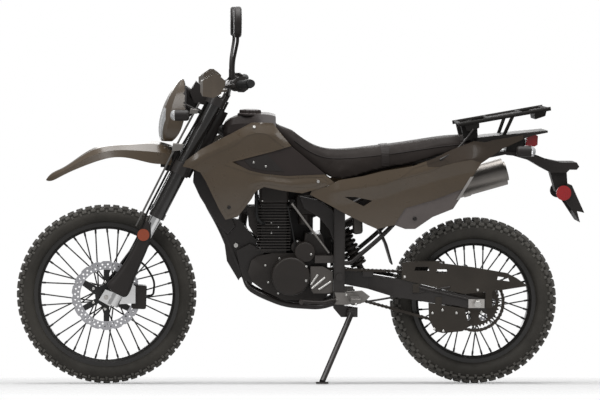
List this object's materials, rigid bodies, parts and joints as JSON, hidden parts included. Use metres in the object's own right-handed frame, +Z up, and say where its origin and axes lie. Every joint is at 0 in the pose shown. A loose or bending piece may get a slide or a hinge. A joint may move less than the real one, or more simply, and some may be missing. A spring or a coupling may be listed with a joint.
{
  "type": "dual sport motorcycle",
  "caption": "Dual sport motorcycle with steering, turning wheels and a folding side stand; rear rack, hand guards and spoked wheels.",
  "frame": {"origin": "middle of the footprint box, on the ground", "axes": "+X from the front wheel to the rear wheel, +Z up, the bike leans towards -Y on its stand"},
  "size_m": [2.1924, 0.8722, 1.4902],
  "materials": {
    "frame_black": "semi-gloss black paint",
    "engine_black": "satin black paint",
    "bare_alloy": "cast alloy",
    "steel": "brushed steel",
    "chrome": "chrome",
    "disc_steel": "ground steel",
    "wheel_black": "gloss black",
    "tyre_rubber": "tyre rubber",
    "rubber": "matt rubber",
    "olive_plastic": "semi-gloss olive",
    "grey_plastic": "warm grey",
    "charcoal_plastic": "charcoal",
    "black_plastic": "matt black",
    "seat_cover": "black vinyl",
    "lens_clear": "clear",
    "lamp_red": "red lens",
    "reflector_amber": "amber reflector"
  },
  "bodies": {
    "frame": {"main_frame": "frame_black", "subframe": "frame_black", "swingarm": "frame_black", "rear_axle": "steel", "rear_shock": "engine_black", "crankcase": "engine_black", "sprocket_cover": "bare_alloy", "cylinder": "engine_black", "carburettor": "engine_black", "engine_hose": "rubber", "exhaust_pipe": "engine_black", "muffler": "steel", "fuel_tank": "charcoal_plastic", "fuel_cap": "charcoal_plastic", "tank_shrouds": "olive_plastic", "tank_side_panels": "charcoal_plastic", "seat": "seat_cover", "side_panels": "olive_plastic", "lower_side_cover": "grey_plastic", "rear_fender": "black_plastic", "rear_lamps": "lamp_red", "rear_signals": "black_plastic", "cargo_rack": "frame_black", "chain": "steel", "chain_guards": "black_plastic", "foot_controls": "steel", "airbox": "black_plastic", "rear_caliper": "engine_black"},
    "steering": {"fork_clamps": "frame_black", "fork_outer_tubes": "frame_black", "fork_lowers": "chrome", "front_axle": "steel", "fork_guards": "black_plastic", "fork_reflectors": "reflector_amber", "handlebar": "frame_black", "grips": "rubber", "bar_controls": "black_plastic", "handguards": "grey_plastic", "mirrors": "black_plastic", "headlight_cowl": "olive_plastic", "headlight_lens": "lens_clear", "instrument": "black_plastic", "front_signals": "black_plastic", "front_fender": "olive_plastic", "front_caliper": "engine_black", "front_brake_hose": "rubber"},
    "front_wheel": {"front_tyre": "tyre_rubber", "front_rim": "wheel_black", "front_hub": "wheel_black", "front_disc": "disc_steel"},
    "rear_wheel": {"rear_tyre": "tyre_rubber", "rear_rim": "wheel_black", "rear_hub": "wheel_black", "rear_sprocket": "frame_black", "rear_disc": "disc_steel"},
    "stand": {"side_stand": "frame_black"}
  },
  "joints": [
    {"name": "steering_head", "type": "hinge", "parent": "frame", "child": "steering", "pos_m": [-0.35896, 0.02948, 0.96258], "axis": [0.454, -0.1163, 0.8834], "range_deg": [-42, 42]},
    {"name": "front_wheel_spin", "type": "hinge", "parent": "steering", "child": "front_wheel", "pos_m": [-0.75006, 0.11069, 0.3457], "axis": [0, 0.9914, 0.1305], "continuous": true},
    {"name": "rear_wheel_spin", "type": "hinge", "parent": "frame", "child": "rear_wheel", "pos_m": [0.67515, 0.1137, 0.3229], "axis": [0, 0.9914, 0.1305], "continuous": true},
    {"name": "side_stand_fold", "type": "hinge", "parent": "frame", "child": "stand", "pos_m": [0.19224, -0.02291, 0.27264], "axis": [0.2815, -0.9576, 0.0612], "range_deg": [0, 132.9]}
  ]
}
